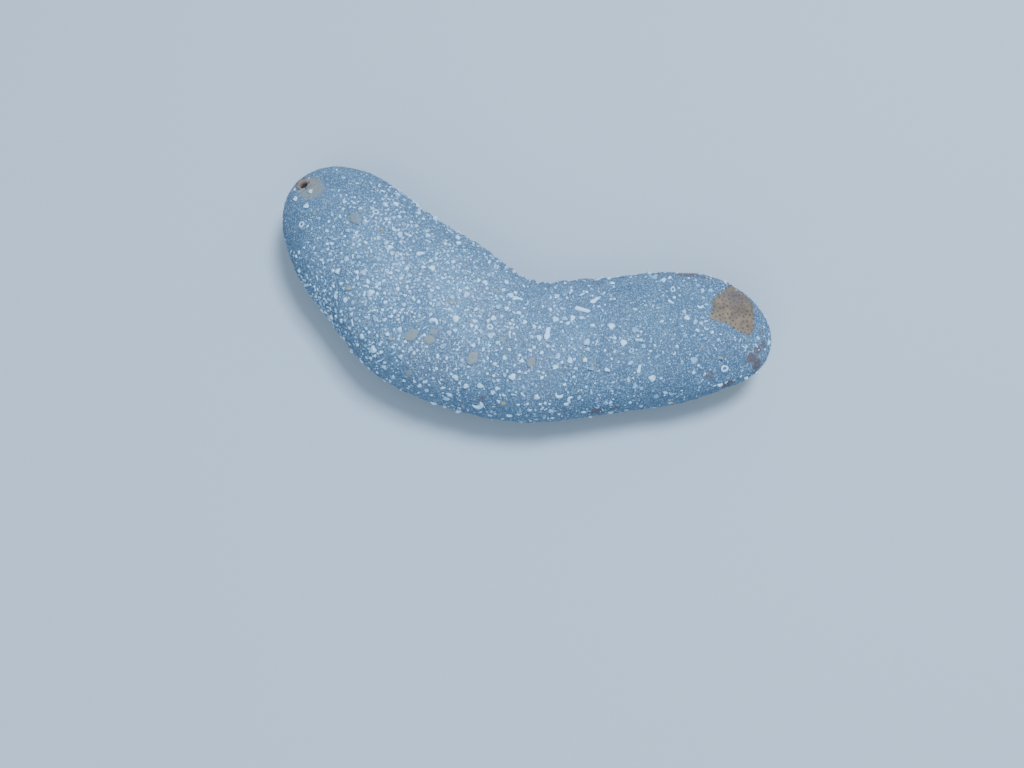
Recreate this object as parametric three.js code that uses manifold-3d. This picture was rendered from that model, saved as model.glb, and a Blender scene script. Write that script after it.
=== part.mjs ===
// Sea cucumber, life size, lying in a bend on its flat sole as on a sandy bottom.
// Millimetres. +X runs from tail to head, +Z is up, and z = 0 is what it rests on.
// The origin lies under the middle of the animal's bounding box.

import * as THREE from 'three';
import { LoftGeometry } from 'three/addons/geometries/LoftGeometry.js';
import { mergeVertices } from 'three/addons/utils/BufferGeometryUtils.js';
import Module from 'manifold-3d';

// The midline on the floor, from the tail's tip to the head's tip, as X and Y.
const MIDLINE = [
  [-132.7, 76.9],
  [-113.4, 50],
  [-86.9, 18],
  [-49.4, -16.5],
  [-1.4, -38.5],
  [50.6, -35.1],
  [100.6, -30.3],
  [145.9, -37],
];

// Girth: half widths across the body, and the heights of its back and flanks.
const WAIST_HALF = 42.5;
const BELLY_BULGE = 8.5;
const NECK_WAIST = 1.6;
const WIDEST_HEIGHT = 21;
const WIDEST_HEIGHT_AT_HEAD = 24;
const BACK_HEIGHT = 50;
const BACK_HUMP = 8;
const TAIL_ROUND = 0.2; // share of the length over which the tail rounds off
const HEAD_ROUND = 0.205;
const TAIL_SOLE_ROUNDNESS = 3.5;
const CHIN_ROUNDNESS = 2.3;
const BELLY_SINK = 2; // how far the soft belly is pressed flat by the floor
const BACK_FULLNESS = 2.15; // 2 is an ellipse, more is boxier
const BELLY_FULLNESS = 2.7;
const FOLD_PITCH = 13;
const FOLD_DEPTH = 1.3;

const SECTIONS = 66;
const SECTION_POINTS = 30;
const FIRST_SECTION = 0.0008; // the outermost rings, as shares of the length
const GAP = 0.3; // touching pieces keep this much apart

// The lengths that the body is divided into, tail first, as shares of the midline.
const LENGTHS = [
  { name: 'tail', node: 'tail_end', from: 0, to: 0.16 },
  { name: 'hind', node: 'hind_body', from: 0.16, to: 0.37 },
  { name: 'mid', node: 'mid_body', from: 0.37, to: 0.58 },
  { name: 'fore', node: 'fore_body', from: 0.58, to: 0.8 },
  { name: 'head', node: 'head_end', from: 0.8, to: 1 },
];

// The sole, and the tube feet that stand on the floor.
const SOLE_TOP = 4;
const FOOT_HEIGHT = 1.2;
const FOOT_RADIUS = 1.5;
const FOOT_PITCH = 13;
const FOOT_ROWS = [-0.52, -0.09, 0.09, 0.52]; // shares of the half width
const EDGE_FOOT_PITCH = 10;
const EDGE_FOOT_ROOT = 0.66;
const EDGE_FOOT_REACH = 0.84;
const EDGE_FOOT_ROOT_HEIGHT = 2.7;
const FOOT_SIDES = 5;
const FEET_FROM = 0.1;
const FEET_TO = 0.84;
const FOOT_MARGIN = 3; // kept clear on each side of a cut

// The mouth faces down and forward on a slope under the head.
const MOUTH_SLOPE_LENGTH = 60;
const MOUTH_SLOPE_START = 72; // behind the head's tip
const MOUTH_SLOPE_RISE = 13;
const MOUTH_BACK = 30;
const MOUTH_TILT = THREE.MathUtils.degToRad(18);
const MOUTH_HEIGHT = 10;
const ORAL_DEPTH = 6.5; // how deep the oral disc is sunk
const ORAL_RADIUS = 10.2;
const ORAL_THICKNESS = 3;
const BOWL_RADIUS = 12.8;
const COLLAR_RADIUS = 14.4;
const COLLAR_TUBE = 1.9;
const COLLAR_PAPILLAE = 20;
const ROUND_SIDES = 24;

const TENTACLES = 20;
const TENTACLE_ROOT_RADIUS = 7.4;
const STALK_RADIUS = 0.95;
const SHIELD_LOBES = 6;
const OUTER_TENTACLE = { length: 11.5, lean: 22, shield: 3.05 };
const INNER_TENTACLE = { length: 7.4, lean: -11, shield: 1.5 };

// The vent sits at the left of the tail's tip and faces up.
const VENT_AT = 0.045;
const VENT_ANGLE = 105;
const VENT_LIFT = 0.3; // how far its axis turns from the skin's own towards straight up
const VENT_RADIUS = 10;
const VENT_MOUND = 1.6;
const VENT_DEPTH = 3.5;
const VENT_HOLE = 2.4;
const VENT_GROUPS = 5;

const SAND_SKIN = new THREE.MeshStandardMaterial({ color: '#9aa4ab', roughness: 0.95, metalness: 0 });
const SOLE_SKIN = new THREE.MeshStandardMaterial({ color: '#b79a78', roughness: 0.8, metalness: 0 });
const VENT_SKIN = new THREE.MeshStandardMaterial({ color: '#b98f63', roughness: 0.75, metalness: 0 });
const MOUTH_SKIN = new THREE.MeshStandardMaterial({ color: '#8f6a48', roughness: 0.7, metalness: 0 });
const TENTACLE_SKIN = new THREE.MeshStandardMaterial({ color: '#7d5b3c', roughness: 0.65, metalness: 0 });

const UP = new THREE.Vector3(0, 0, 1);
const wasm = await Module();
wasm.setup();

// A closed three.js geometry as a solid that can be joined and cut.
function solid(geometry, matrix = new THREE.Matrix4()) {
  const bare = new THREE.BufferGeometry().copy(geometry).applyMatrix4(matrix);
  bare.deleteAttribute('normal');
  bare.deleteAttribute('uv');
  const merged = mergeVertices(bare, 1e-4);
  return new wasm.Manifold(
    new wasm.Mesh({
      numProp: 3,
      vertProperties: merged.attributes.position.array,
      triVerts: new Uint32Array(merged.index.array),
    }),
  );
}

function join(solids) {
  return solids.reduce((whole, next) => whole.add(next));
}

// The largest closed body of a solid, which drops any loose scrap.
function largest(whole) {
  return whole.decompose().reduce((a, b) => (a.volume() > b.volume() ? a : b));
}

function mesh(name, whole, material) {
  const { vertProperties, triVerts } = largest(whole).getMesh();
  const geometry = new THREE.BufferGeometry();
  geometry.setAttribute('position', new THREE.BufferAttribute(vertProperties, 3));
  geometry.setIndex(new THREE.BufferAttribute(triVerts, 1));
  geometry.computeVertexNormals();
  const made = new THREE.Mesh(geometry, material);
  made.name = name;
  return made;
}

// A matrix that stands a local +Z along an axis, with local +X as near to front as it can be.
function standing(origin, axis, front) {
  const side = new THREE.Vector3().crossVectors(axis, front).normalize();
  const ahead = new THREE.Vector3().crossVectors(side, axis);
  return new THREE.Matrix4().makeBasis(ahead, side, axis).setPosition(origin);
}

const midline = new THREE.CatmullRomCurve3(
  MIDLINE.map(([x, y]) => new THREE.Vector3(x, y, 0)),
  false,
  'catmullrom',
  0.5,
);
midline.arcLengthDivisions = 1000;
const BODY_LENGTH = midline.getLength();

function bump(x, centre, spread) {
  return Math.exp(-(((x - centre) / spread) ** 2));
}

// 1 along the body, falling to 0 at both tips along a rounded end.
function endRounding(u, roundness) {
  const tail = Math.max(0, 1 - u / TAIL_ROUND);
  const head = Math.max(0, 1 - (1 - u) / HEAD_ROUND);
  return (1 - Math.max(tail, head) ** roundness) ** (1 / roundness);
}

function halfWidth(u) {
  const girth = WAIST_HALF + BELLY_BULGE * bump(u, 0.37, 0.12) - NECK_WAIST * bump(u, 0.78, 0.14);
  return girth * endRounding(u, 2);
}

function widestHeight(u) {
  return THREE.MathUtils.lerp(WIDEST_HEIGHT, WIDEST_HEIGHT_AT_HEAD, THREE.MathUtils.smoothstep(u, 0.75, 1));
}

function backHeight(u) {
  const full = BACK_HEIGHT + BACK_HUMP * bump(u, 0.42, 0.25);
  return widestHeight(u) + (full - widestHeight(u)) * endRounding(u, 2.2);
}

// The belly is flat, and rises where each end rounds off and along the mouth's slope.
function bellyHeight(u) {
  const fromTip = (1 - u) * BODY_LENGTH;
  const slope = THREE.MathUtils.smoothstep(MOUTH_SLOPE_START - fromTip, 0, MOUTH_SLOPE_LENGTH);
  const roundness = u < 0.5 ? TAIL_SOLE_ROUNDNESS : CHIN_ROUNDNESS;
  const flatShare = endRounding(u, roundness) * (1 - (MOUTH_SLOPE_RISE * slope) / widestHeight(u));
  return widestHeight(u) * (1 - flatShare) - BELLY_SINK;
}

// Skin folds cross the body, deepest on the inside of the bend and low on the flanks.
function foldDepth(u, angle) {
  const wave = 0.5 - 0.5 * Math.cos((2 * Math.PI * u * BODY_LENGTH) / FOLD_PITCH + Math.sin(9 * u));
  const inner = bump(angle, 20, 50) * bump(u, 0.5, 0.14);
  const flank = 0.3 * (bump(angle, -5, 40) + bump(angle, 185, 40));
  return FOLD_DEPTH * wave * wave * Math.min(1, inner + flank) * endRounding(u, 3);
}

function power(value, exponent) {
  return Math.sign(value) * Math.abs(value) ** exponent;
}

// A point of the skin: u runs from tail to head, and the angle from the left flank (0)
// over the back (90) to the right flank (180) and round under the belly, in degrees.
function skinPoint(u, angle) {
  const turn = THREE.MathUtils.degToRad(angle);
  const above = Math.sin(turn) > 0;
  const exponent = 2 / (above ? BACK_FULLNESS : BELLY_FULLNESS);
  const rise = above ? backHeight(u) - widestHeight(u) : widestHeight(u) - bellyHeight(u);
  const centre = midline.getPointAt(u);
  const ahead = midline.getTangentAt(u);
  const depth = foldDepth(u, angle > 200 ? angle - 360 : angle);
  const across = (halfWidth(u) - depth) * power(Math.cos(turn), exponent);
  const height = widestHeight(u) + (rise - 0.5 * depth) * power(Math.sin(turn), exponent);
  return new THREE.Vector3(centre.x - ahead.y * across, centre.y + ahead.x * across, height);
}

function skinNormal(u, angle) {
  const du = 0.004;
  const da = 1;
  const along = skinPoint(u + du, angle).sub(skinPoint(u - du, angle));
  const round = skinPoint(u, angle + da).sub(skinPoint(u, angle - da));
  return round.cross(along).normalize();
}

// The whole body as one closed loft, with sections closer together at its round ends.
function wholeBody() {
  const sections = [];
  for (let i = 0; i <= SECTIONS; i++) {
    const even = i / SECTIONS;
    const eased = 0.5 - 0.5 * Math.cos(Math.PI * even);
    const u = THREE.MathUtils.lerp(FIRST_SECTION, 1 - FIRST_SECTION, 0.55 * even + 0.45 * eased);
    const section = [];
    for (let j = 0; j < SECTION_POINTS; j++) section.push(skinPoint(u, (360 * j) / SECTION_POINTS));
    sections.push(section);
  }
  return solid(new LoftGeometry(sections, { closed: true, capStart: true, capEnd: true }));
}

// A plate GAP thick across the body at a share of its length.
function crossCut(u) {
  const plate = new THREE.BoxGeometry(160, 160, GAP);
  const place = standing(midline.getPointAt(u), midline.getTangentAt(u), UP);
  return solid(plate, place);
}

function levelSlab(low, high) {
  const slab = new THREE.BoxGeometry(600, 600, high - low);
  return solid(slab, new THREE.Matrix4().makeTranslation(0, 0, (low + high) / 2));
}

// The mouth's frame: origin on the oral disc's face, +Z out of the mouth, +X towards the front.
function mouthFrame() {
  const u = 1 - MOUTH_BACK / BODY_LENGTH;
  const ahead = midline.getTangentAt(u);
  const axis = ahead.clone().multiplyScalar(Math.sin(MOUTH_TILT)).addScaledVector(UP, -Math.cos(MOUTH_TILT));
  const origin = midline.getPointAt(u).setZ(MOUTH_HEIGHT).addScaledVector(axis, -ORAL_DEPTH);
  return standing(origin, axis, ahead);
}

function lathe(profile, sides, frame) {
  const points = profile.map(([radius, height]) => new THREE.Vector2(radius, height));
  const turned = new THREE.LatheGeometry(points, sides);
  return solid(turned, frame.clone().multiply(new THREE.Matrix4().makeRotationX(Math.PI / 2)));
}

// The hollow under the head that the oral disc fills, with a ledge that the collar lies on.
function mouthBowl(frame) {
  const ceiling = -ORAL_THICKNESS - GAP;
  const wall = ORAL_RADIUS + GAP;
  const ledge = ORAL_DEPTH - COLLAR_TUBE - GAP;
  const rim = COLLAR_RADIUS + COLLAR_TUBE + GAP;
  const profile = [[0, ceiling], [wall, ceiling], [wall, 0], [BOWL_RADIUS, ledge], [rim, ledge], [rim, 40], [0, 40]];
  return lathe(profile, ROUND_SIDES, frame);
}

function oralDisc(frame) {
  const profile = [
    [0, -ORAL_THICKNESS],
    [ORAL_RADIUS, -ORAL_THICKNESS],
    [ORAL_RADIUS, 0],
    [4.2, 0],
    [3.3, 0.8],
    [2.4, 0.4],
    [1.7, -1.5],
    [0, -1.7],
  ];
  return lathe(profile, ROUND_SIDES, frame);
}

function collarRing(frame) {
  const profile = [];
  for (let i = 0; i <= 8; i++) {
    const turn = (2 * Math.PI * (i % 8)) / 8;
    profile.push([COLLAR_RADIUS + COLLAR_TUBE * Math.cos(turn), ORAL_DEPTH + COLLAR_TUBE * Math.sin(turn)]);
  }
  return lathe(profile, ROUND_SIDES, frame);
}

// A tapered peg with its foot at a point of the frame, leaning along a direction.
function peg(frame, foot, direction, length, rootRadius, tipRadius, sides) {
  const shape = new THREE.CylinderGeometry(tipRadius, rootRadius, length, sides);
  shape.rotateX(Math.PI / 2).translate(0, 0, length / 2);
  const helper = Math.abs(direction.z) > 0.9 ? new THREE.Vector3(1, 0, 0) : UP;
  return solid(shape, frame.clone().multiply(standing(foot, direction, helper)));
}

function aroundAxis(radius, angle, height) {
  return new THREE.Vector3(radius * Math.cos(angle), radius * Math.sin(angle), height);
}

function mouthCollar(frame) {
  const pieces = [collarRing(frame)];
  for (let i = 0; i < COLLAR_PAPILLAE; i++) {
    const angle = (2 * Math.PI * (i + 0.5)) / COLLAR_PAPILLAE;
    const foot = aroundAxis(COLLAR_RADIUS + 0.3, angle, ORAL_DEPTH + 0.8);
    const lean = aroundAxis(0.4, angle, 1).normalize();
    pieces.push(peg(frame, foot, lean, 2.6, 1, 0.35, 5));
  }
  return join(pieces);
}

// A feeding tentacle: a short stalk with a lobed shield at its end, cut flat over the oral disc.
function tentacle(frame, index) {
  const kind = index % 2 ? INNER_TENTACLE : OUTER_TENTACLE;
  const angle = (2 * Math.PI * index) / TENTACLES;
  const lean = THREE.MathUtils.degToRad(kind.lean);
  const length = kind.length * (1 + 0.06 * Math.sin(5 * index));
  const foot = aroundAxis(TENTACLE_ROOT_RADIUS, angle, -1);
  const direction = aroundAxis(Math.sin(lean), angle, Math.cos(lean));
  const stalk = peg(frame, foot, direction, length + 1, STALK_RADIUS, STALK_RADIUS * 0.85, 6);
  const tip = foot.clone().addScaledVector(direction, length + 1);
  const belowDisc = new THREE.BoxGeometry(60, 60, 10).translate(0, 0, GAP - 5);
  const shield = lobedShield(kind.shield, SHIELD_LOBES);
  const place = frame.clone().multiply(standing(tip, direction, aroundAxis(1, angle, 0)));
  return join([stalk, solid(shield, place)]).subtract(solid(belowDisc, frame));
}

// A flattened dome with lobes round its rim, facing +Z.
function lobedShield(radius, lobes) {
  const shape = new THREE.SphereGeometry(1, 2 * lobes, 4);
  const position = shape.attributes.position;
  for (let i = 0; i < position.count; i++) {
    const around = Math.atan2(position.getZ(i), position.getX(i));
    const spread = radius * (1 + 0.13 * Math.cos(lobes * around));
    const high = position.getY(i) > 0 ? 0.5 : 0.3;
    position.setXYZ(i, position.getX(i) * spread, position.getY(i) * radius * high, position.getZ(i) * spread);
  }
  return shape.rotateX(Math.PI / 2);
}

function ventFrame() {
  const axis = skinNormal(VENT_AT, VENT_ANGLE).addScaledVector(UP, VENT_LIFT).normalize();
  return standing(skinPoint(VENT_AT, VENT_ANGLE), axis, midline.getTangentAt(VENT_AT));
}

function ventSocket(frame) {
  const wall = VENT_RADIUS + GAP;
  return lathe([[0, -VENT_DEPTH - GAP], [wall - 1, -VENT_DEPTH - GAP], [wall, 0], [wall, 20], [0, 20]], ROUND_SIDES, frame);
}

// The vent's low mound, with its hole and five groups of papillae round it.
function ventDisc(frame) {
  const profile = [
    [0, -VENT_DEPTH],
    [VENT_RADIUS - 1, -VENT_DEPTH],
    [VENT_RADIUS, 0],
    [VENT_RADIUS - 2.5, VENT_MOUND * 0.7],
    [VENT_HOLE + 1.4, VENT_MOUND],
    [VENT_HOLE, VENT_MOUND * 0.6],
    [VENT_HOLE * 0.8, -VENT_DEPTH * 0.6],
    [0, -VENT_DEPTH * 0.65],
  ];
  const pieces = [lathe(profile, ROUND_SIDES, frame)];
  for (let group = 0; group < VENT_GROUPS; group++) {
    for (const step of [-1, 0, 1]) {
      const angle = (2 * Math.PI * (group + 0.17 * step)) / VENT_GROUPS;
      const foot = aroundAxis(VENT_HOLE + 2.2, angle, VENT_MOUND - 1.2);
      const lean = aroundAxis(0.3, angle, 1).normalize();
      pieces.push(peg(frame, foot, lean, step ? 2.6 : 3.4, 0.9, 0.3, 5));
    }
  }
  return join(pieces);
}

// A low tube foot under the sole, flat where it meets the floor.
function foot(x, y, radius) {
  const shape = new THREE.CylinderGeometry(radius * 0.8, radius, FOOT_HEIGHT + 1, FOOT_SIDES);
  shape.rotateX(Math.PI / 2).translate(x, y, (FOOT_HEIGHT + 1) / 2);
  return solid(shape);
}

// A tube foot that reaches out from the sole's edge and grips the floor with its flat end.
function edgeFoot(u, side) {
  const centre = midline.getPointAt(u).setZ(EDGE_FOOT_ROOT_HEIGHT);
  const ahead = midline.getTangentAt(u);
  const outward = new THREE.Vector3(-ahead.y * side, ahead.x * side, 0);
  const root = centre.clone().addScaledVector(outward, EDGE_FOOT_ROOT * halfWidth(u));
  const tip = centre.clone().addScaledVector(outward, EDGE_FOOT_REACH * halfWidth(u)).setZ(FOOT_HEIGHT);
  const direction = tip.clone().sub(root);
  const length = direction.length();
  const stalk = peg(new THREE.Matrix4(), root, direction.normalize(), length, FOOT_RADIUS, 1, FOOT_SIDES);
  const sucker = new THREE.CylinderGeometry(FOOT_RADIUS * 0.8, FOOT_RADIUS, FOOT_HEIGHT, FOOT_SIDES);
  sucker.rotateX(Math.PI / 2).translate(tip.x, tip.y, FOOT_HEIGHT / 2);
  return stalk.add(solid(sucker));
}

// Shares of the midline at a pitch, between two cuts and within the stretch that has feet.
function stations(length, pitch) {
  const margin = FOOT_MARGIN / BODY_LENGTH;
  const from = Math.max(length.from + margin, FEET_FROM);
  const to = Math.min(length.to - margin, FEET_TO);
  const count = Math.max(1, Math.round(((to - from) * BODY_LENGTH) / pitch));
  return Array.from({ length: count + 1 }, (_, i) => THREE.MathUtils.lerp(from, to, i / count));
}

function tubeFeet(length) {
  const feet = [];
  for (const u of stations(length, FOOT_PITCH)) {
    const centre = midline.getPointAt(u);
    const ahead = midline.getTangentAt(u);
    for (const row of FOOT_ROWS) {
      const across = row * halfWidth(u);
      feet.push(foot(centre.x - ahead.y * across, centre.y + ahead.x * across, FOOT_RADIUS));
    }
  }
  for (const u of stations(length, EDGE_FOOT_PITCH)) feet.push(edgeFoot(u, 1), edgeFoot(u, -1));
  return feet;
}

const model = new THREE.Group();
const mouth = mouthFrame();
const vent = ventFrame();

const flesh = wholeBody()
  .subtract(mouthBowl(mouth))
  .subtract(ventSocket(vent))
  .subtract(levelSlab(-20, FOOT_HEIGHT))
  .subtract(levelSlab(SOLE_TOP, SOLE_TOP + GAP))
  .subtract(join(LENGTHS.slice(1).map((length) => crossCut(length.from))));

// Each part of the flesh belongs to the length that holds the middle of its box.
function nearestShare(box) {
  const x = (box.min[0] + box.max[0]) / 2;
  const y = (box.min[1] + box.max[1]) / 2;
  let best = 0;
  let least = Infinity;
  for (let i = 0; i <= 200; i++) {
    const point = midline.getPointAt(i / 200);
    const away = (point.x - x) ** 2 + (point.y - y) ** 2;
    if (away < least) [least, best] = [away, i / 200];
  }
  return best;
}

const parts = flesh.decompose().map((part) => ({
  part,
  share: nearestShare(part.boundingBox()),
  isSole: part.boundingBox().max[2] < SOLE_TOP + GAP / 2,
}));

for (const length of LENGTHS) {
  const here = parts.filter(({ share }) => share >= length.from && share < length.to);
  const back = here.filter(({ isSole }) => !isSole).map(({ part }) => part);
  const sole = here.filter(({ isSole }) => isSole).map(({ part }) => part);
  model.add(mesh(length.node, join(back), SAND_SKIN));
  model.add(mesh(`sole_${length.name}`, join([largest(join(sole)), ...tubeFeet(length)]), SOLE_SKIN));
}

model.add(mesh('mouth_collar', mouthCollar(mouth), MOUTH_SKIN));
model.add(mesh('oral_disc', oralDisc(mouth), MOUTH_SKIN));
for (let i = 0; i < TENTACLES; i++) {
  model.add(mesh(`tentacle_${String(i + 1).padStart(2, '0')}`, tentacle(mouth, i), TENTACLE_SKIN));
}
model.add(mesh('vent_disc', ventDisc(vent), VENT_SKIN));

export default model;
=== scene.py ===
import math

import bmesh
import bpy
import numpy as np
from mathutils import Matrix, Vector, noise
from mathutils.bvhtree import BVHTree


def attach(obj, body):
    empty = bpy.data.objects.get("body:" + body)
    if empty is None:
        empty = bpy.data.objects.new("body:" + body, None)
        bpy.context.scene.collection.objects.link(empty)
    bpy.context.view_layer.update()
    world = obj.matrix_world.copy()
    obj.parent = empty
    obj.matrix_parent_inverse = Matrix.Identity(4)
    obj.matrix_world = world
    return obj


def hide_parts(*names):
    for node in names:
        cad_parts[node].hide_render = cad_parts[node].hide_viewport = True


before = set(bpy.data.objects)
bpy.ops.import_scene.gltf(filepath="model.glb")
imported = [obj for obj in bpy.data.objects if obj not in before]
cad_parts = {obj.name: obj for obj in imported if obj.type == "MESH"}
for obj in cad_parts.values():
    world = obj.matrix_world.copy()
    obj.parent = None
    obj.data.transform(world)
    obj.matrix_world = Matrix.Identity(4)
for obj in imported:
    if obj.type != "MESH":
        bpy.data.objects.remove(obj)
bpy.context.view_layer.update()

# The view looks down at 70 degrees, across the animal's near side, at a point of the floor in
# front of it. Lens and distance are matched to the animal's outline in the photograph.
CAMERA_ELEVATION = math.radians(70)
CAMERA_DISTANCE = 0.658
FIELD_OF_VIEW = math.radians(50)
PICTURE_CENTRE = Vector((-0.0054, -0.052, 0))

lens = bpy.data.cameras.new("camera")
lens.angle = FIELD_OF_VIEW
lens.clip_start = 0.01
camera = bpy.data.objects.new("camera", lens)
towards_camera = Vector((0, -math.cos(CAMERA_ELEVATION), math.sin(CAMERA_ELEVATION)))
camera.location = PICTURE_CENTRE + CAMERA_DISTANCE * towards_camera
camera.rotation_euler = (math.pi / 2 - CAMERA_ELEVATION, 0, 0)
bpy.context.collection.objects.link(camera)
bpy.context.scene.camera = camera

# The room: a plain pale floor, a broad soft light above the animal's far right side,
# a weak one in front, and an even pale surround.
FLOOR_HALF = 4.0
FLOOR_COLOUR = "#b4bfc8"
SURROUND_COLOUR = "#cde1f6"
SURROUND_STRENGTH = 0.64
LIGHT_COLOUR = "#d4e8fd"
LIGHTS = {
    "main_light": {"place": (0.55, 0.5, 1.9), "width": 0.65, "watts": 61},
    "side_light": {"place": (-0.4, -1.6, 1.4), "width": 1.4, "watts": 24},
}


def linear(colour):
    """A #rrggbb colour as the linear red, green, blue and alpha that Blender works in."""
    shares = [int(colour[i : i + 2], 16) / 255 for i in (1, 3, 5)]
    return [s / 12.92 if s <= 0.04045 else ((s + 0.055) / 1.055) ** 2.4 for s in shares] + [1.0]


def add_node(material, kind, inputs=None, **options):
    """A shader node: inputs hold values, sockets, or nodes whose first output is linked."""
    tree = material.node_tree
    node = tree.nodes.new("ShaderNode" + kind)
    for name, value in options.items():
        setattr(node, name, value)
    for name, value in (inputs or {}).items():
        if isinstance(value, bpy.types.Node):
            value = next(output for output in value.outputs if output.enabled)
        if isinstance(value, bpy.types.NodeSocket):
            tree.links.new(value, node.inputs[name])
        else:
            node.inputs[name].default_value = value
    return node


def new_material(name):
    """An empty material, with its surface still to be linked."""
    material = bpy.data.materials.new(name)
    material.use_nodes = True
    material.node_tree.nodes.clear()
    return material


def set_surface(material, **inputs):
    """Ends a material with a principled shader. Names take _ for a space."""
    named = {name.replace("_", " "): value for name, value in inputs.items()}
    shader = add_node(material, "BsdfPrincipled", named)
    add_node(material, "OutputMaterial", {"Surface": shader})


def new_piece(name, mesh, material):
    """A mesh as an object of the scene, at the origin and unturned."""
    piece = bpy.data.objects.new(name, mesh)
    bpy.context.collection.objects.link(piece)
    mesh.materials.append(material)
    return piece


# Matt emulsion paint on board: even colour, no gloss.
floor_paint = new_material("matt_emulsion_paint")
set_surface(floor_paint, Base_Color=linear(FLOOR_COLOUR), Roughness=0.9)
floor_form = bmesh.new()
bmesh.ops.create_grid(floor_form, x_segments=8, y_segments=8, size=FLOOR_HALF)
floor_mesh = bpy.data.meshes.new("floor")
floor_form.to_mesh(floor_mesh)
floor_form.free()
new_piece("floor", floor_mesh, floor_paint)

for name, light in LIGHTS.items():
    lamp = bpy.data.lights.new(name, "AREA")
    lamp.size = light["width"]
    lamp.energy = light["watts"]
    lamp.color = linear(LIGHT_COLOUR)[:3]
    holder = bpy.data.objects.new(name, lamp)
    holder.location = light["place"]
    holder.rotation_euler = (-Vector(light["place"])).to_track_quat("-Z", "Y").to_euler()
    bpy.context.collection.objects.link(holder)

surround = bpy.data.worlds.new("surround")
surround.use_nodes = True
surround.node_tree.nodes["Background"].inputs["Color"].default_value = linear(SURROUND_COLOUR)
surround.node_tree.nodes["Background"].inputs["Strength"].default_value = SURROUND_STRENGTH
bpy.context.scene.world = surround

# The body wall: one soft skin from tail to head and round the sole, with no seam.
# It is a grid rolled into a tube along the animal's midline, then wrinkled along its normals.
# Lumps are given as size and height in mm.
MM = 0.001
MIDLINE = [
    (-132.7, 76.9), (-113.4, 50), (-86.9, 18), (-49.4, -16.5),
    (-1.4, -38.5), (50.6, -35.1), (100.6, -30.3), (145.9, -37),
]
WAIST_HALF = 42.5 * MM
BELLY_BULGE = 8.5 * MM
NECK_WAIST = 1.6 * MM
WIDEST_HEIGHT = 21 * MM
WIDEST_HEIGHT_AT_HEAD = 24 * MM
BACK_HEIGHT = 50 * MM
BACK_HUMP = 8 * MM
TAIL_ROUND = 0.2
HEAD_ROUND = 0.205
TAIL_SOLE_ROUNDNESS = 3.5
CHIN_ROUNDNESS = 2.3
BELLY_SINK = 2 * MM
BACK_FULLNESS = 2.15
BELLY_FULLNESS = 2.7
SOLE_HEIGHT = 1.2 * MM
FOLD_PITCH = 13 * MM
FOLD_DEPTH = 1.6 * MM
COAT_DEPTH = 0.9 * MM
MOUTH_SLOPE_LENGTH = 60 * MM
MOUTH_SLOPE_START = 72 * MM
MOUTH_SLOPE_RISE = 13 * MM
RINGS = 318
RING_POINTS = 296
TAIL_CROWDING = 1.6
LUMPS = {34: 0.9, 13: 0.4, 4.5: 0.16}
WRINKLE_PITCH = 3.6 * MM

# The midline as a curve through its points, at even steps of its length.
knots = np.array(MIDLINE) * MM
knots = np.vstack([2 * knots[0] - knots[1], knots, 2 * knots[-1] - knots[-2]])
stretches = []
for before, start, end, after in zip(knots, knots[1:], knots[2:], knots[3:]):
    t = np.linspace(0, 1, 200, endpoint=False)[:, None]
    leave = 0.5 * (end - before)
    arrive = 0.5 * (after - start)
    cubic = 2 * start - 2 * end + leave + arrive
    square = -3 * start + 3 * end - 2 * leave - arrive
    stretches.append(cubic * t**3 + square * t**2 + leave * t + start)
line = np.vstack(stretches + [knots[-2][None]])
line_steps = np.concatenate([[0], np.cumsum(np.linalg.norm(np.diff(line, axis=0), axis=1))])
BODY_LENGTH = line_steps[-1]
line_share = line_steps / BODY_LENGTH
line_ahead = np.gradient(line, line_steps, axis=0)
line_ahead /= np.linalg.norm(line_ahead, axis=1)[:, None]


def along_line(u, values):
    """X and Y of a midline quantity at shares u of its length."""
    return np.stack([np.interp(u, line_share, values[:, 0]), np.interp(u, line_share, values[:, 1])], axis=-1)


def beside_line(u, across, height):
    """Points at distances to the left of the midline, and at heights above the floor."""
    centre = along_line(u, line)
    ahead = along_line(u, line_ahead)
    x = centre[..., 0] - ahead[..., 1] * across
    y = centre[..., 1] + ahead[..., 0] * across
    return np.stack(np.broadcast_arrays(x, y, height), axis=-1)


def hill(x, centre, spread):
    return np.exp(-(((x - centre) / spread) ** 2))


def ease(x, low, high):
    """0 below low and 1 above high, with a smooth step between."""
    t = np.clip((x - low) / (high - low), 0, 1)
    return t * t * (3 - 2 * t)


def end_rounding(u, roundness):
    ends = np.maximum(np.maximum(1 - u / TAIL_ROUND, 1 - (1 - u) / HEAD_ROUND), 0)
    return (1 - np.minimum(ends, 1) ** roundness) ** (1 / roundness)


def half_width(u):
    bulges = BELLY_BULGE * hill(u, 0.37, 0.12) - NECK_WAIST * hill(u, 0.78, 0.14)
    return (WAIST_HALF + bulges) * end_rounding(u, 2)


def widest_height(u):
    return WIDEST_HEIGHT + (WIDEST_HEIGHT_AT_HEAD - WIDEST_HEIGHT) * ease(u, 0.75, 1)


def back_height(u):
    full = BACK_HEIGHT + BACK_HUMP * hill(u, 0.42, 0.25)
    return widest_height(u) + (full - widest_height(u)) * end_rounding(u, 2.2)


def belly_height(u):
    slope = ease(MOUTH_SLOPE_START - (1 - u) * BODY_LENGTH, 0, MOUTH_SLOPE_LENGTH)
    roundness = np.where(u < 0.5, TAIL_SOLE_ROUNDNESS, CHIN_ROUNDNESS)
    flat_share = end_rounding(u, roundness) * (1 - MOUTH_SLOPE_RISE * slope / widest_height(u))
    return widest_height(u) * (1 - flat_share) - BELLY_SINK


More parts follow.
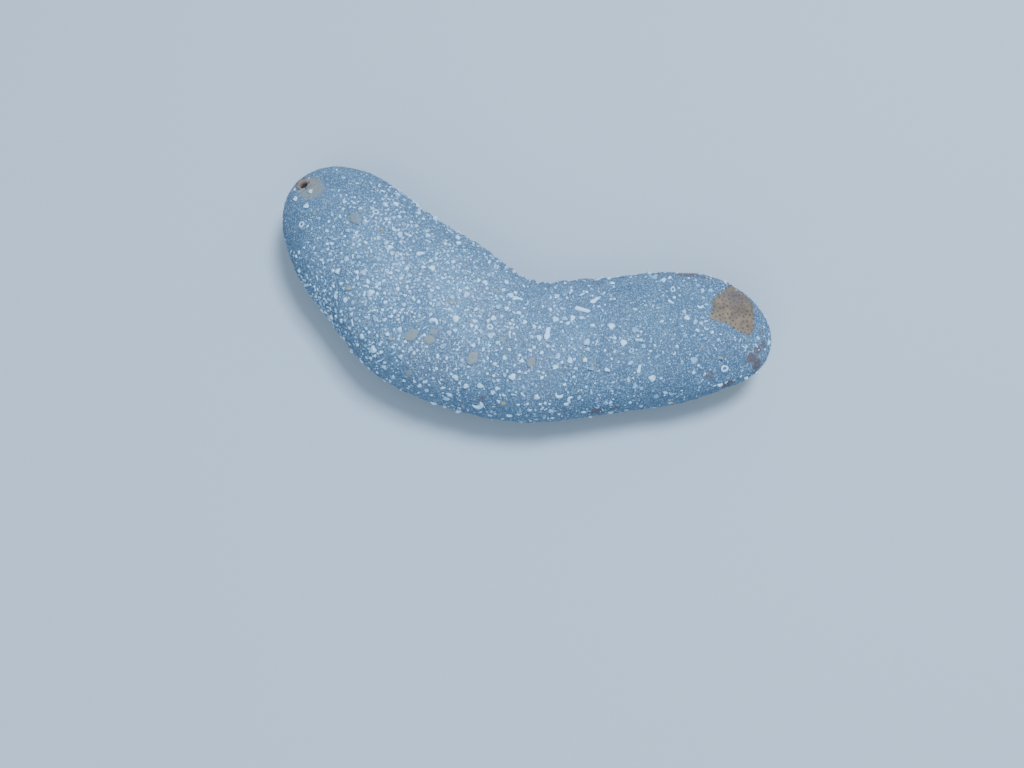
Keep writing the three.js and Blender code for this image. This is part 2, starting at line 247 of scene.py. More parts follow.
def fold_depth(u, angle):
    """Folds across the body, deepest on the inside of the bend and low on the flanks."""
    wave = 0.5 - 0.5 * np.cos(2 * math.pi * u * BODY_LENGTH / FOLD_PITCH + np.sin(9 * u))
    inner = hill(angle, 20, 50) * hill(u, 0.5, 0.14)
    flank = 0.3 * (hill(angle, -5, 40) + hill(angle, 185, 40))
    return FOLD_DEPTH * wave * wave * np.minimum(1, inner + flank) * end_rounding(u, 3)


def skin_point(u, angle):
    """Points of the skin. Angles run from the far flank at 0 over the back to the near flank at 180."""
    u = np.asarray(u, float)
    turn = np.radians(angle)
    above = np.sin(turn) > 0
    exponent = 2 / np.where(above, BACK_FULLNESS, BELLY_FULLNESS)
    rise = np.where(above, back_height(u) - widest_height(u), widest_height(u) - belly_height(u))
    depth = fold_depth(u, np.where(np.asarray(angle) > 200, np.asarray(angle) - 360, angle))
    outwards, upwards = np.cos(turn), np.sin(turn)
    across = (half_width(u) - depth) * np.sign(outwards) * np.abs(outwards) ** exponent
    height = widest_height(u) + (rise - 0.5 * depth) * np.sign(upwards) * np.abs(upwards) ** exponent
    return beside_line(u, across, np.maximum(height, SOLE_HEIGHT))


def skin_normal(u, angle):
    along = skin_point(u + 0.004, angle) - skin_point(u - 0.004, angle)
    around = skin_point(u, angle + 1) - skin_point(u, angle - 1)
    return Vector(np.cross(around, along)).normalized()


def noise_at(points, size):
    """Smooth noise from -1 to 1 with lumps of a size, at each point."""
    return np.array([noise.noise(Vector(point)) for point in points / size])


def read_vectors(rows, name):
    """The vectors of a mesh's vertices or normals, one to a row."""
    values = np.empty(len(rows) * 3)
    rows.foreach_get(name, values)
    return values.reshape(-1, 3)


def read_values(mesh, name):
    values = np.empty(len(mesh.vertices))
    mesh.attributes[name].data.foreach_get("value", values)
    return values


# Rings lie at even steps along the flank's profile, and closer together round the vent.
fine_share = 0.5 - 0.5 * np.cos(np.linspace(0, math.pi, 4000))
profile_step = np.hypot(np.diff(fine_share) * BODY_LENGTH, np.diff(half_width(fine_share)))
profile_step *= 1 + TAIL_CROWDING * hill(fine_share[1:], 0.02, 0.05)
profile_length = np.concatenate([[0], np.cumsum(profile_step)])

skin_form = bmesh.new()
skin_form.loops.layers.uv.new("along_and_round")
bmesh.ops.create_grid(skin_form, x_segments=RINGS, y_segments=RING_POINTS, size=1, calc_uvs=True)
skin_mesh = bpy.data.meshes.new("skin")
skin_form.to_mesh(skin_mesh)
skin_form.free()
flat = read_vectors(skin_mesh.vertices, "co")
share = np.interp((flat[:, 0] + 1) / 2 * profile_length[-1], profile_length, fine_share)
angle = (flat[:, 1] + 1) * 180
skin_mesh.vertices.foreach_set("co", skin_point(share, angle).ravel())
for name, values in {"share": share, "angle": angle}.items():
    skin_mesh.attributes.new(name, "FLOAT", "POINT").data.foreach_set("value", values)

skin_form = bmesh.new()
skin_form.from_mesh(skin_mesh)
bmesh.ops.remove_doubles(skin_form, verts=skin_form.verts, dist=0.002 * MM)
bmesh.ops.recalc_face_normals(skin_form, faces=skin_form.faces)
skin_form.to_mesh(skin_mesh)
skin_form.free()

place = read_vectors(skin_mesh.vertices, "co")
outward = read_vectors(skin_mesh.vertex_normals, "vector")
share = read_values(skin_mesh, "share")
angle = read_values(skin_mesh, "angle")
under = ease(6 * MM - place[:, 2], 0, 4 * MM)
lumps = sum(height * noise_at(place, size * MM) for size, height in LUMPS.items())
wrinkles = np.sin(2 * math.pi * share * BODY_LENGTH / WRINKLE_PITCH + 5 * noise_at(place, 16 * MM))
wrinkle_depth = 0.05 + 0.1 * ease(np.abs(angle - 90), 50, 95) + 0.12 * hill(share, 0, 0.12)
relief = lumps * MM * (1 - 0.8 * under) + wrinkles * wrinkle_depth * MM * (1 - under)

# The mouth lies sunk under the head, facing down and forward. Only skin within the local reach
# of the mouth or the vent is pressed in round it.
MOUTH_BACK = 30 * MM
MOUTH_TILT = math.radians(18)
MOUTH_HEIGHT = 10 * MM
ORAL_DEPTH = 6.5 * MM
ORAL_RADIUS = 10.2 * MM
COLLAR_RADIUS = 14.4 * MM
COLLAR_TUBE = 1.9 * MM
LOCAL_REACH = 12 * MM


def standing(origin, axis, front):
    """A matrix that stands local +Z along an axis, with local +X as near to front as it can be."""
    side = axis.cross(front).normalized()
    ahead = side.cross(axis).normalized()
    matrix = Matrix((ahead, side, axis)).transposed().to_4x4()
    matrix.translation = origin
    return matrix


mouth_share = 1 - MOUTH_BACK / BODY_LENGTH
mouth_ahead = Vector((*along_line(mouth_share, line_ahead), 0)).normalized()
mouth_axis = mouth_ahead * math.sin(MOUTH_TILT) - Vector((0, 0, math.cos(MOUTH_TILT)))
mouth_rim = Vector((*along_line(mouth_share, line), MOUTH_HEIGHT))
mouth = standing(mouth_rim - mouth_axis * ORAL_DEPTH, mouth_axis, mouth_ahead)


def to_frame(points, matrix):
    turn = np.array(matrix.inverted())
    return points @ turn[:3, :3].T + turn[:3, 3]


def from_frame(points, matrix):
    turn = np.array(matrix)
    return points @ turn[:3, :3].T + turn[:3, 3]


place = place + outward * (relief - COAT_DEPTH)[:, None]
local = to_frame(place, mouth)
reach = np.hypot(local[:, 0], local[:, 1])
sunk = (1 - ease(reach, ORAL_RADIUS + 0.4 * MM, COLLAR_RADIUS + 1.2 * MM)) * (local[:, 2] > -LOCAL_REACH)
local[:, 2] += sunk * (-0.6 * MM - local[:, 2])
place = from_frame(local, mouth)
place[:, 2] = np.maximum(place[:, 2], SOLE_HEIGHT)


def set_points(mesh, points):
    """Moves a mesh's vertices and shades it smooth."""
    mesh.vertices.foreach_set("co", points.ravel())
    mesh.polygons.foreach_set("use_smooth", np.ones(len(mesh.polygons), dtype=bool))
    mesh.update()


# The vent opens at the tail's tip and faces up. Below its ring the skin makes a pit.
VENT_SHARE = 0.045
VENT_ANGLE = 105
VENT_LIFT = 0.3
PIT_DEPTH = 4.6 * MM
PIT_FLOOR_RADIUS = 3.4 * MM
PIT_RADIUS = 5.4 * MM

vent_axis = (skin_normal(VENT_SHARE, VENT_ANGLE) + Vector((0, 0, VENT_LIFT))).normalized()
vent_ahead = Vector((*along_line(VENT_SHARE, line_ahead), 0))
vent = standing(Vector(skin_point(VENT_SHARE, VENT_ANGLE)), vent_axis, vent_ahead)
unbroken_skin = BVHTree.FromPolygons(place.tolist(), [face.vertices[:] for face in skin_mesh.polygons])
local = to_frame(place, vent)
reach = np.hypot(local[:, 0], local[:, 1])
in_pit = (1 - ease(reach, PIT_FLOOR_RADIUS, PIT_RADIUS)) * (local[:, 2] > -LOCAL_REACH)
local[:, 2] -= in_pit * PIT_DEPTH
place = from_frame(local, vent)
set_points(skin_mesh, place)

# Where the coat of sand is missing, the skin shows: a tan patch on the head, the skin round
# the vent, brown marks low on the flanks, and the whole sole.
# The patch is outlined in mm ahead and to the far side of a place on the head, seen from above.
HEAD_PATCH = {"share": 0.915, "angle": 79}
PATCH_OUTLINE = [
    (-12.3, 6.2), (-6.5, 12.6), (-3, 20), (-0.5, 25), (4, 20.5), (8, 19.5), (12.4, 11.7),
    (14.2, 4.8), (14.2, -5.9), (12.2, -12), (6.5, -10.8), (-4.7, -7.3), (-14.4, -8.2), (-11.4, -1.6),
]
VENT_TAN = {"ahead": 4 * MM, "left": 2 * MM, "along": 12.5 * MM, "across": 9 * MM}

# Each brown mark has its share of the length, angle, radius in mm, and strength.
BROWN_MARKS = [
    (0.518, 156.5, 4.6, 0.6), (0.618, 120, 3.2, 0.5), (0.563, 70.5, 3.6, 0.35), (0.744, 99.5, 3, 0.4),
    (0.887, 145.5, 4.2, 0.6), (0.931, 168.5, 5, 0.85), (0.982, 104, 3.4, 0.7), (0.972, 117, 3.6, 0.75),
    (0.963, 127.5, 4.2, 0.9), (0.976, 147.5, 5, 0.95), (0.974, 85, 3.4, 0.5), (0.966, 30, 3.6, 0.6),
    (0.918, 57, 9, 0.9), (0.108, 76, 9, 0.25), (0.699, 42.5, 6, 0.5), (0.843, 34, 5, 0.8),
    (0.858, 33, 5, 0.8), (0.875, 36, 4, 0.65), (0.666, 176, 6, 0.7), (0.706, 176, 4, 0.7),
]


def plan_offset(points, at):
    """How far points lie ahead of and to the left of a place on the back, seen from above."""
    centre = skin_point(at["share"], at["angle"])
    ahead = along_line(at["share"], line_ahead)
    offset = points[:, :2] - centre[:2]
    return offset @ ahead, offset @ np.array([-ahead[1], ahead[0]])


def outline_depth(ahead, left, outline):
    """How deep places lie inside an outline. Outside it the depth is negative."""
    places = np.stack([ahead, left], axis=-1)
    corners = np.array(outline) * MM
    inside = np.zeros(len(places), dtype=bool)
    depth = np.full(len(places), np.inf)
    for start, end in zip(corners, np.roll(corners, -1, axis=0)):
        side = end - start
        along = np.clip((places - start) @ side / (side @ side), 0, 1)
        depth = np.minimum(depth, np.linalg.norm(places - start - along[:, None] * side, axis=1))
        level = (left - start[1]) / side[1]
        inside ^= (level >= 0) & (level < 1) & (ahead < start[0] + level * side[0])
    return np.where(inside, depth, -depth)


def bare_amount(points, share, angle):
    """How bare of sand the tan skin is, from 0 to 1."""
    on_back = (angle > 5) & (angle < 160)
    ragged = noise_at(points, 4 * MM)
    ahead, left = plan_offset(points, HEAD_PATCH)
    depth = outline_depth(ahead, left, PATCH_OUTLINE)
    return ease(depth + 1.3 * MM * ragged, -1.3 * MM, 1.5 * MM) * on_back * (share > 0.8)


def veil_amount(points, share, angle):
    """How much tan skin shines through round the vent, from 0 to 1."""
    ahead, left = plan_offset(points, {"share": VENT_SHARE, "angle": VENT_ANGLE})
    along = (ahead - VENT_TAN["ahead"]) / VENT_TAN["along"]
    across = (left - VENT_TAN["left"]) / VENT_TAN["across"]
    away = np.hypot(along, across)
    return ease(1.2 + 0.15 * noise_at(points, 4 * MM) - away, 0, 0.75) * (share < 0.15)


def brown_amount(points, share, angle):
    """How much brown skin shows through the sand, from 0 to 1."""
    ragged = noise_at(points, 3 * MM)
    total = np.zeros(len(points))
    for mark_share, mark_angle, radius, strength in BROWN_MARKS:
        centre = skin_point(mark_share, mark_angle)
        away = np.linalg.norm(points - centre, axis=1) / (radius * MM)
        total = np.maximum(total, strength * ease(1.1 + 0.45 * ragged - away, 0, 0.6))
    edge = hill(points[:, 2], 9 * MM, 6 * MM) * ease(noise_at(points, 9 * MM) + 0.3 * ragged, 0.05, 0.5)
    return np.maximum(total, 0.75 * edge)


def sole_amount(points, share, angle):
    """1 on the sole and under the head, 0 on the tail's tip and where the sand coat starts."""
    faces_down = ease(np.sin(np.radians(angle)), -0.62, -0.9)
    ragged = 0.12 * noise_at(points, 5 * MM)
    return ease(faces_down + ragged, 0.25, 0.6) * ease(share, 0.015, 0.045)


def sand_depth_and_light(points, share, angle):
    """How thick the sand lies, from 0 to 1: most on the back behind the middle. The same amount paints the
    film lighter on top and darker on the flanks and at both ends, as painted light and shade.
    """
    return hill(share, 0.44, 0.28) * hill(angle, 94, 62)


COVERS = {
    "bare": bare_amount,
    "veil": veil_amount,
    "brown": brown_amount,
    "sole": sole_amount,
    "deep": sand_depth_and_light,
}
for name, amount in COVERS.items():
    values = amount(place, share, angle)
    skin_mesh.attributes.new(name, "FLOAT", "POINT").data.foreach_set("value", values)

# Leathery wet skin under a film of fine sand that its slime holds.
# The film is drawn as cells of 0.5 mm, coarser than real silt, so that its grain shows.
SAND_DARK = "#486580"
SAND_MIDDLE = "#6b8ca6"
SAND_LIGHT = "#9cbfd9"
SAND_THIN = "#58758f"
# SAND_SHADE is painted shade on the flanks and at both ends, partly thinner sand.
SAND_SHADE = "#455d76"
SAND_MAUVE = "#747c90"
TAN_SKIN = "#87725a"
TAN_DEEP = "#685847"
TAN_VEIL = "#8d8576"
BROWN_SKIN = "#625759"
RIM_ORANGE = "#966c4c"
# Painted shade: the near-black laid inside the vent's hole.
HOLLOW_PAINTED_SHADE = "#3a3738"
SOLE_PALE = "#d8bf98"
SOLE_DEEP = "#b08d62"
SAND_GRAIN = 0.5 * MM
SKIN_GRAIN = 0.9 * MM
SKIN_PATTERNS = {"patches": (22, 5.0), "tints": (31, 2.0), "blotches": (5, 4.0), "speckle": (1.4, 3.0)}


def layered(material, colour, *layers):
    """A colour with others laid over it in turn, each by an amount: #rrggbb colours or nodes."""
    for amount, over in layers:
        low, high = (linear(shade) if isinstance(shade, str) else shade for shade in (colour, over))
        colour = add_node(material, "Mix", {0: amount, 6: low, 7: high}, data_type="RGBA")
    return colour


def read_attribute(material, name):
    return add_node(material, "Attribute", attribute_name=name).outputs["Fac"]


sanded_skin = new_material("sanded_skin")
where = add_node(sanded_skin, "TexCoord").outputs["Object"]
covers = {name: read_attribute(sanded_skin, name) for name in (*COVERS, "orange", "hollow")}
grains = add_node(sanded_skin, "TexVoronoi", {"Vector": where, "Scale": 1 / SAND_GRAIN})
grain_tone = add_node(sanded_skin, "SeparateColor", {"Color": grains.outputs["Color"]})
dark_tone, light_tone, height_tone = grain_tone.outputs
pattern = {
    name: add_node(sanded_skin, "TexNoise", {"Vector": where, "Scale": 1 / (size * MM), "Detail": detail})
    for name, (size, detail) in SKIN_PATTERNS.items()
}
thick = add_node(sanded_skin, "MapRange", {"Value": pattern["patches"], "From Min": 0.42, "From Max": 0.62})
mauve = add_node(
    sanded_skin, "MapRange", {"Value": pattern["tints"], "From Min": 0.5, "From Max": 0.7, "To Max": 0.6}
)
# Painted shade, partly thinner sand: the film is darkened towards the flanks and both ends, away from the top
# of the back.
shaded = add_node(
    sanded_skin, "MapRange", {"Value": covers["deep"], "From Max": 0.9, "To Min": 0.68, "To Max": 0.0}
)
dark = add_node(sanded_skin, "MapRange", {"Value": dark_tone, "From Max": 0.35, "To Min": 1.0, "To Max": 0.0})
light = add_node(sanded_skin, "MapRange", {"Value": light_tone, "From Min": 0.72})
veiled = add_node(sanded_skin, "Math", {0: covers["veil"], 1: 0.75}, operation="MULTIPLY")
blotch = add_node(sanded_skin, "MapRange", {"Value": pattern["blotches"], "From Min": 0.35, "From Max": 0.65})
browned = add_node(sanded_skin, "Math", {0: covers["brown"], 1: 0.7}, operation="MULTIPLY")
broken = add_node(sanded_skin, "Math", {0: pattern["speckle"], 1: 0.5}, operation="SUBTRACT")
shows = {}
for name in ("bare", "brown", "sole"):
    edged = add_node(sanded_skin, "Math", {0: broken, 1: 0.9, 2: covers[name]}, operation="MULTIPLY_ADD")
    shows[name] = add_node(sanded_skin, "MapRange", {"Value": edged, "From Min": 0.3, "From Max": 0.75})

film_layers = (thick, SAND_MIDDLE), (mauve, SAND_MAUVE), (shaded, SAND_SHADE), (dark, SAND_DARK)
film = layered(sanded_skin, SAND_THIN, *film_layers, (light, SAND_LIGHT), (veiled, TAN_VEIL))
tan = layered(sanded_skin, TAN_DEEP, (blotch, TAN_SKIN), (browned, BROWN_SKIN))
sole = layered(sanded_skin, SOLE_DEEP, (blotch, SOLE_PALE))
colour = layered(sanded_skin, film, (shows["brown"], BROWN_SKIN), (shows["bare"], tan), (shows["sole"], sole))
# Last, the vent's hole is painted dark as painted shade.
colour = layered(sanded_skin, colour, (covers["orange"], RIM_ORANGE), (covers["hollow"], HOLLOW_PAINTED_SHADE))
uncovered = add_node(sanded_skin, "Math", {0: shows["bare"], 1: shows["sole"]}, operation="MAXIMUM")
roughness = add_node(sanded_skin, "MapRange", {"Value": uncovered, "To Min": 0.92, "To Max": 0.5})
pores = add_node(sanded_skin, "TexVoronoi", {"Vector": where, "Scale": 1 / SKIN_GRAIN})
skin_bump = add_node(sanded_skin, "Bump", {"Height": pores, "Strength": 0.35, "Distance": 0.3 * MM})
sand_height = add_node(sanded_skin, "MapRange", {"Value": uncovered, "To Min": 1.0, "To Max": 0.15})
sand_rise = add_node(sanded_skin, "Math", {0: height_tone, 1: sand_height}, operation="MULTIPLY")
sand_bump = add_node(
    sanded_skin, "Bump", {"Height": sand_rise, "Strength": 0.8, "Distance": 0.22 * MM, "Normal": skin_bump}
)
set_surface(sanded_skin, Base_Color=colour, Roughness=roughness, Normal=sand_bump)

FLESH = ["tail_end", "hind_body", "mid_body", "fore_body", "head_end"]
SOLES = ["sole_tail", "sole_hind", "sole_mid", "sole_fore", "sole_head"]
skin = new_piece("skin", skin_mesh, sanded_skin)
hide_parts(*FLESH, *SOLES)
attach(skin, "root")

# The sand coat: fine coral sand that the slime holds, as grains of half a millimetre.
# Each grain is a small eight-faced crystal, laid on the skin at random where the coat is.
FINE_GRAIN = 0.62 * MM
FINE_GRAINS_A_PIECE = 21000
FINE_PIECES = 3
BURIED = 0.25
BAKE_PATCH = 0.0015

skin_mesh.calc_loop_triangles()
triangles = np.empty(len(skin_mesh.loop_triangles) * 3, dtype=int)
skin_mesh.loop_triangles.foreach_get("vertices", triangles)
triangles = triangles.reshape(-1, 3)
place = read_vectors(skin_mesh.vertices, "co")
outward = read_vectors(skin_mesh.vertex_normals, "vector")
first_corner, *others = place[triangles].transpose(1, 0, 2)
triangle_area = np.linalg.norm(np.cross(others[0] - first_corner, others[1] - first_corner), axis=1)
bare_skin = read_values(skin_mesh, "bare")
showing = np.maximum(read_values(skin_mesh, "brown"), read_values(skin_mesh, "veil"))


def scatter(count, weight, seed):
    """Random places on the skin, as points, outward normals, shares of the length and angles."""
    random = np.random.default_rng(seed)
    density = np.clip(weight(place, share, angle), 0, None)
    chance = triangle_area * density[triangles].mean(axis=1)
    chosen = triangles[random.choice(len(triangles), size=count, p=chance / chance.sum())]
    corner = random.dirichlet((1, 1, 1), size=count)[:, :, None]
    points = (place[chosen] * corner).sum(axis=1)
    normals = (outward[chosen] * corner).sum(axis=1)
    return points, normals, share[chosen[:, 0]], angle[chosen[:, 0]]


def lay(normals, tilt, random):
    """Frames that lie on the skin, turned at random: length, width and up, one above another."""
    up = normals + tilt * random.normal(size=normals.shape)
    up /= np.linalg.norm(up, axis=1)[:, None]
    length = np.cross(random.normal(size=normals.shape), up)
    length /= np.linalg.norm(length, axis=1)[:, None]
    return np.stack([length, np.cross(up, length), up], axis=1)


# Without a seed of its own, the noise that roughens the forms would differ from run to run.
noise.seed_set(1)


def finish_form(form, rough=0.0, seed=0):
    """A bmesh as a mesh of triangles, roughened by a share of its size."""
    start = Vector((seed, seed, seed))
    for vert in form.verts:
        lumps = noise.noise_vector(vert.co * 2.8 + start) + 0.6 * noise.noise_vector(vert.co * 6.5 + start)
        vert.co += rough * lumps
    bmesh.ops.recalc_face_normals(form, faces=form.faces)
    bmesh.ops.triangulate(form, faces=form.faces)
    mesh = bpy.data.meshes.new("form")
    form.to_mesh(mesh)
    form.free()
    return mesh


def lay_copies(name, form, material, points, frames, sizes, roots, tones, smooth=False):
    """One piece of many copies of a form, each with its own frame, size and tone."""
    shape = read_vectors(form.vertices, "co")
    faces = np.array([face.vertices[:] for face in form.polygons])
    count = len(points)
    steps = np.einsum("vk,nk,nkj->nvj", shape, sizes, frames)
    verts = (points[:, None, :] + steps).reshape(-1, 3)
    indices = (faces[None] + len(shape) * np.arange(count)[:, None, None]).reshape(-1, 3)
    mesh = bpy.data.meshes.new(name)
    mesh.from_pydata(verts, [], indices, shade_flat=not smooth)
    mesh.attributes.new("tone", "FLOAT", "POINT").data.foreach_set("value", np.repeat(tones, len(shape)))
    spread = shape[:, :2] / np.abs(shape[:, :2]).max() * BAKE_PATCH
    unwrap = (roots[:, None, :] + spread[None]).reshape(-1, 2)[indices.ravel()]
    mesh.uv_layers.new(name="OFBake").data.foreach_set("uv", unwrap.ravel())
    piece = new_piece(name, mesh, material)
    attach(piece, "root")
    return piece


def on_unwrap(shares, angles):
    return np.stack([0.01 + 0.98 * shares, 0.01 + 0.98 * (angles % 360) / 360], axis=-1)


def sand_weight(points, shares, angles):
    """Fine sand lies on the back and flanks, thinly on the tail's end and not on bare skin."""
    on_top = ease(np.sin(np.radians(angles)), -0.75, -0.2)
    on_tail = 0.2 + 0.8 * ease(shares, 0.04, 0.17)
    kept = (1 - 0.96 * bare_skin) * (1 - 0.65 * showing) * (1 - in_pit)
    return on_top * on_tail * kept * (0.8 + 0.3 * noise_at(points, 15 * MM))


# Coral sand: worn grains of shell and reef rock, matt, from blue grey to nearly white.
coral_sand = new_material("coral_sand")
tone = read_attribute(coral_sand, "tone")
low_tone = add_node(coral_sand, "MapRange", {"Value": tone, "From Max": 0.5})
high_tone = add_node(coral_sand, "MapRange", {"Value": tone, "From Min": 0.5})
sand_colour = layered(coral_sand, "#435f79", (low_tone, "#7495b0"), (high_tone, "#bcdcf5"))
set_surface(coral_sand, Base_Color=sand_colour, Roughness=0.85)

grain = bmesh.new()
bmesh.ops.create_uvsphere(grain, u_segments=4, v_segments=2, radius=0.5)
bmesh.ops.scale(grain, vec=(1, 0.8, 0.65), verts=grain.verts)
grain = finish_form(grain)
for number in range(FINE_PIECES):
    random = np.random.default_rng(100 + number)
    points, normals, shares, angles = scatter(FINE_GRAINS_A_PIECE, sand_weight, 10 + number)
    sizes = FINE_GRAIN * random.uniform(0.55, 1.35, size=(len(points), 1)) * np.ones(3)
    points += normals * sizes[:, 2:] * (0.3 - BURIED)
    # Grains are painted lighter where the sand is thick on top of the back: partly thicker sand, partly
    # painted light.
    tones = random.normal(0.29, 0.18, size=len(points)) + 0.18 * sand_depth_and_light(points, shares, angles)
    sand = lay_copies(
        f"fine_sand_{number + 1}", grain, coral_sand, points, lay(normals, 0.5, random), sizes,
        on_unwrap(shares, angles), np.clip(tones, 0, 1),
    )

# Tube feet of the back: where the skin is bare they show as small dark brown domes, in no rows.
DOME_WIDTH = 1.3 * MM
DOME_SPACING = 2.25 * MM
DOME_TRIES = 4000
CLEAR_CELL = 6 * MM

laid = {}


def clear_places(points, radii):
    """The places that keep clear of all that was laid before, in turn. They then count as laid."""
    kept = []
    for index, (point, radius) in enumerate(zip(points, radii)):
        x, y, z = (int(step) for step in np.floor(point / CLEAR_CELL))
        cells = [(x + i, y + j, z + k) for i in (-1, 0, 1) for j in (-1, 0, 1) for k in (-1, 0, 1)]
        near = [other for cell in cells for other in laid.get(cell, ())]
        if all(math.dist(point, other[0]) > radius + other[1] for other in near):
            laid.setdefault((x, y, z), []).append((point, radius))
            kept.append(index)
    return np.array(kept)


def dome_weight(points, shares, angles):
    return ease(bare_skin, 0.76, 0.92) * (1 - in_pit)


def mottled_material(name, size, detail):
    """A new material, and noise for it with patches of a size."""
    material = new_material(name)
    where = add_node(material, "TexCoord").outputs["Object"]
    return material, add_node(material, "TexNoise", {"Vector": where, "Scale": 1 / size, "Detail": detail})


# Pigmented skin: soft, dark brown, with the faint gloss of a wet surface.
pigmented_skin, mottle = mottled_material("pigmented_skin", 0.5 * MM, 2.0)
tone = read_attribute(pigmented_skin, "tone")
dome_colour = layered(pigmented_skin, "#55463b", (tone, "#6c5a4c"))
dome_bump = add_node(pigmented_skin, "Bump", {"Height": mottle, "Strength": 0.4, "Distance": 0.12 * MM})
set_surface(pigmented_skin, Base_Color=dome_colour, Roughness=0.5, Normal=dome_bump)

dome = bmesh.new()
bmesh.ops.create_uvsphere(dome, u_segments=8, v_segments=6, radius=0.5)
bmesh.ops.scale(dome, vec=(1, 1, 0.7), verts=dome.verts)
dome = finish_form(dome, rough=0.04, seed=8)
random = np.random.default_rng(150)
points, normals, shares, angles = scatter(DOME_TRIES, dome_weight, 15)
keep = clear_places(points, np.full(len(points), DOME_SPACING / 2))
sizes = DOME_WIDTH * random.uniform(0.75, 1.2, size=(len(keep), 1)) * np.array([1, 1, 0.8])
domes = lay_copies(
    "back_tube_feet", dome, pigmented_skin, points[keep], lay(normals[keep], 0.1, random), sizes,
    on_unwrap(shares[keep], angles[keep]), random.uniform(0, 1, size=len(keep)), smooth=True,
)

# Shell bits of 1 to 5 mm, lying flat in the sand: worn ovals, broken flakes and wedges, rods,
# half moons, rings and two-lobed bits, with a few larger pebbles.
SHELL_BIT = 2.3 * MM
SHELL_COUNTS = {
    "oval": 620, "flake": 620, "wedge": 420, "rod": 260,
    "moon": 250, "ring": 60, "club": 240, "pebble": 10,
}
BIT_CLEARANCE = 0.43
ALONG_X = Matrix.Rotation(math.pi / 2, 4, "Y")


def grit_weight(points, shares, angles):
    """Shell grit is thickest on the back behind the middle, and rare on the tail's end."""
    on_top = ease(np.sin(np.radians(angles)), -0.5, 0.4)
    drift = 0.32 + 1.3 * hill(shares, 0.41, 0.14) * hill(angles, 98, 36) + 0.55 * hill(shares, 0.24, 0.1)
    on_tail = (0.1 + 0.9 * ease(shares, 0.08, 0.2)) * (1 - 0.3 * ease(shares, 0.6, 0.8))
    clumps = ease(noise_at(points, 13 * MM), -0.6, 0.5) * ease(noise_at(points + 0.1, 5 * MM), -0.7, 0.4)
    kept = (1 - 0.95 * bare_skin) * (1 - 0.6 * showing) * (1 - in_pit)
    return on_top * drift * on_tail * (0.35 + clumps) * kept


# Broken shell: dense chalky white to cream, with a few grey and tan bits, faintly glossy.
shell_grit, chalk = mottled_material("shell_grit", 0.9 * MM, 3.0)
tone = read_attribute(shell_grit, "tone")
greyed = add_node(shell_grit, "MapRange", {"Value": tone, "From Min": 0.1, "From Max": 0.22})
whitened = add_node(shell_grit, "MapRange", {"Value": tone, "From Min": 0.25, "From Max": 0.75})
stain = add_node(
    shell_grit, "MapRange", {"Value": chalk, "From Min": 0.5, "From Max": 0.8, "To Max": 0.35}
)
shell_layers = (greyed, "#7ba2c2"), (whitened, "#c8e8ff"), (stain, "#7a9cb8")
shell_colour = layered(shell_grit, "#96907f", *shell_layers)
chalk_bump = add_node(shell_grit, "Bump", {"Height": chalk, "Strength": 0.5, "Distance": 0.15 * MM})
set_surface(shell_grit, Base_Color=shell_colour, Roughness=0.55, Normal=chalk_bump)

# Worn pebbles: dull tan reef rock with a film of fine blue-grey sand in patches.
worn_pebble, mottle = mottled_material("worn_reef_rock", 1.6 * MM, 5.0)
tone = read_attribute(worn_pebble, "tone")
filmed = add_node(worn_pebble, "MapRange", {"Value": mottle, "From Min": 0.4, "From Max": 0.6})
rock = layered(worn_pebble, "#727873", (tone, "#9a927e"), (filmed, "#7088a0"))
rock_bump = add_node(worn_pebble, "Bump", {"Height": mottle, "Strength": 0.7, "Distance": 0.4 * MM})
set_surface(worn_pebble, Base_Color=rock, Roughness=0.85, Normal=rock_bump)


def worn_form(subdivisions, width, thickness, rough, seed):
    """A worn lump, 1 long: a flattened ball."""
    form = bmesh.new()
    bmesh.ops.create_icosphere(form, subdivisions=subdivisions, radius=0.5)
    bmesh.ops.scale(form, vec=(1, width, thickness), verts=form.verts)
    return finish_form(form, rough, seed)


def broken_form(sides, width, thickness, top, rough, seed):
    """A broken piece, 1 long: the flat stump of a cone with few sides."""
    form = bmesh.new()
    bmesh.ops.create_cone(form, cap_ends=True, segments=sides, radius1=0.5, radius2=top, depth=thickness)
    bmesh.ops.scale(form, vec=(1, width, 1), verts=form.verts)
    return finish_form(form, rough, seed)


def rod_form():
    form = bmesh.new()
    bmesh.ops.create_cone(
        form, cap_ends=True, segments=8, radius1=0.15, radius2=0.12, depth=0.92, matrix=ALONG_X
    )
    ends = [edge for edge in form.edges if abs(edge.verts[0].co.x - edge.verts[1].co.x) < 0.1]
    bmesh.ops.bevel(form, geom=ends, offset=0.06, segments=2, profile=0.5, affect="EDGES", material=-1)
    return finish_form(form, rough=0.07, seed=2)


def moon_form():
    form = bmesh.new()
    turn = 190
    start = Matrix.Translation((0.34, 0, 0)) @ Matrix.Rotation(math.pi / 2, 4, "X")
    ring = bmesh.ops.create_circle(form, cap_ends=True, segments=6, radius=0.17, matrix=start)
    section = ring["verts"] + form.edges[:] + form.faces[:]
    bmesh.ops.spin(form, geom=section, cent=(0, 0, 0), axis=(0, 0, 1), angle=math.radians(turn), steps=8)
    for vert in form.verts:
        along = (math.degrees(math.atan2(vert.co.y, vert.co.x)) % 360) / turn
        taper = max(0.25, math.sin(math.pi * min(along, 1)) ** 0.6)
        middle = Vector((vert.co.x, vert.co.y, 0)).normalized() * 0.34
        vert.co = middle + (vert.co - middle) * taper
    return finish_form(form, rough=0.05, seed=4)


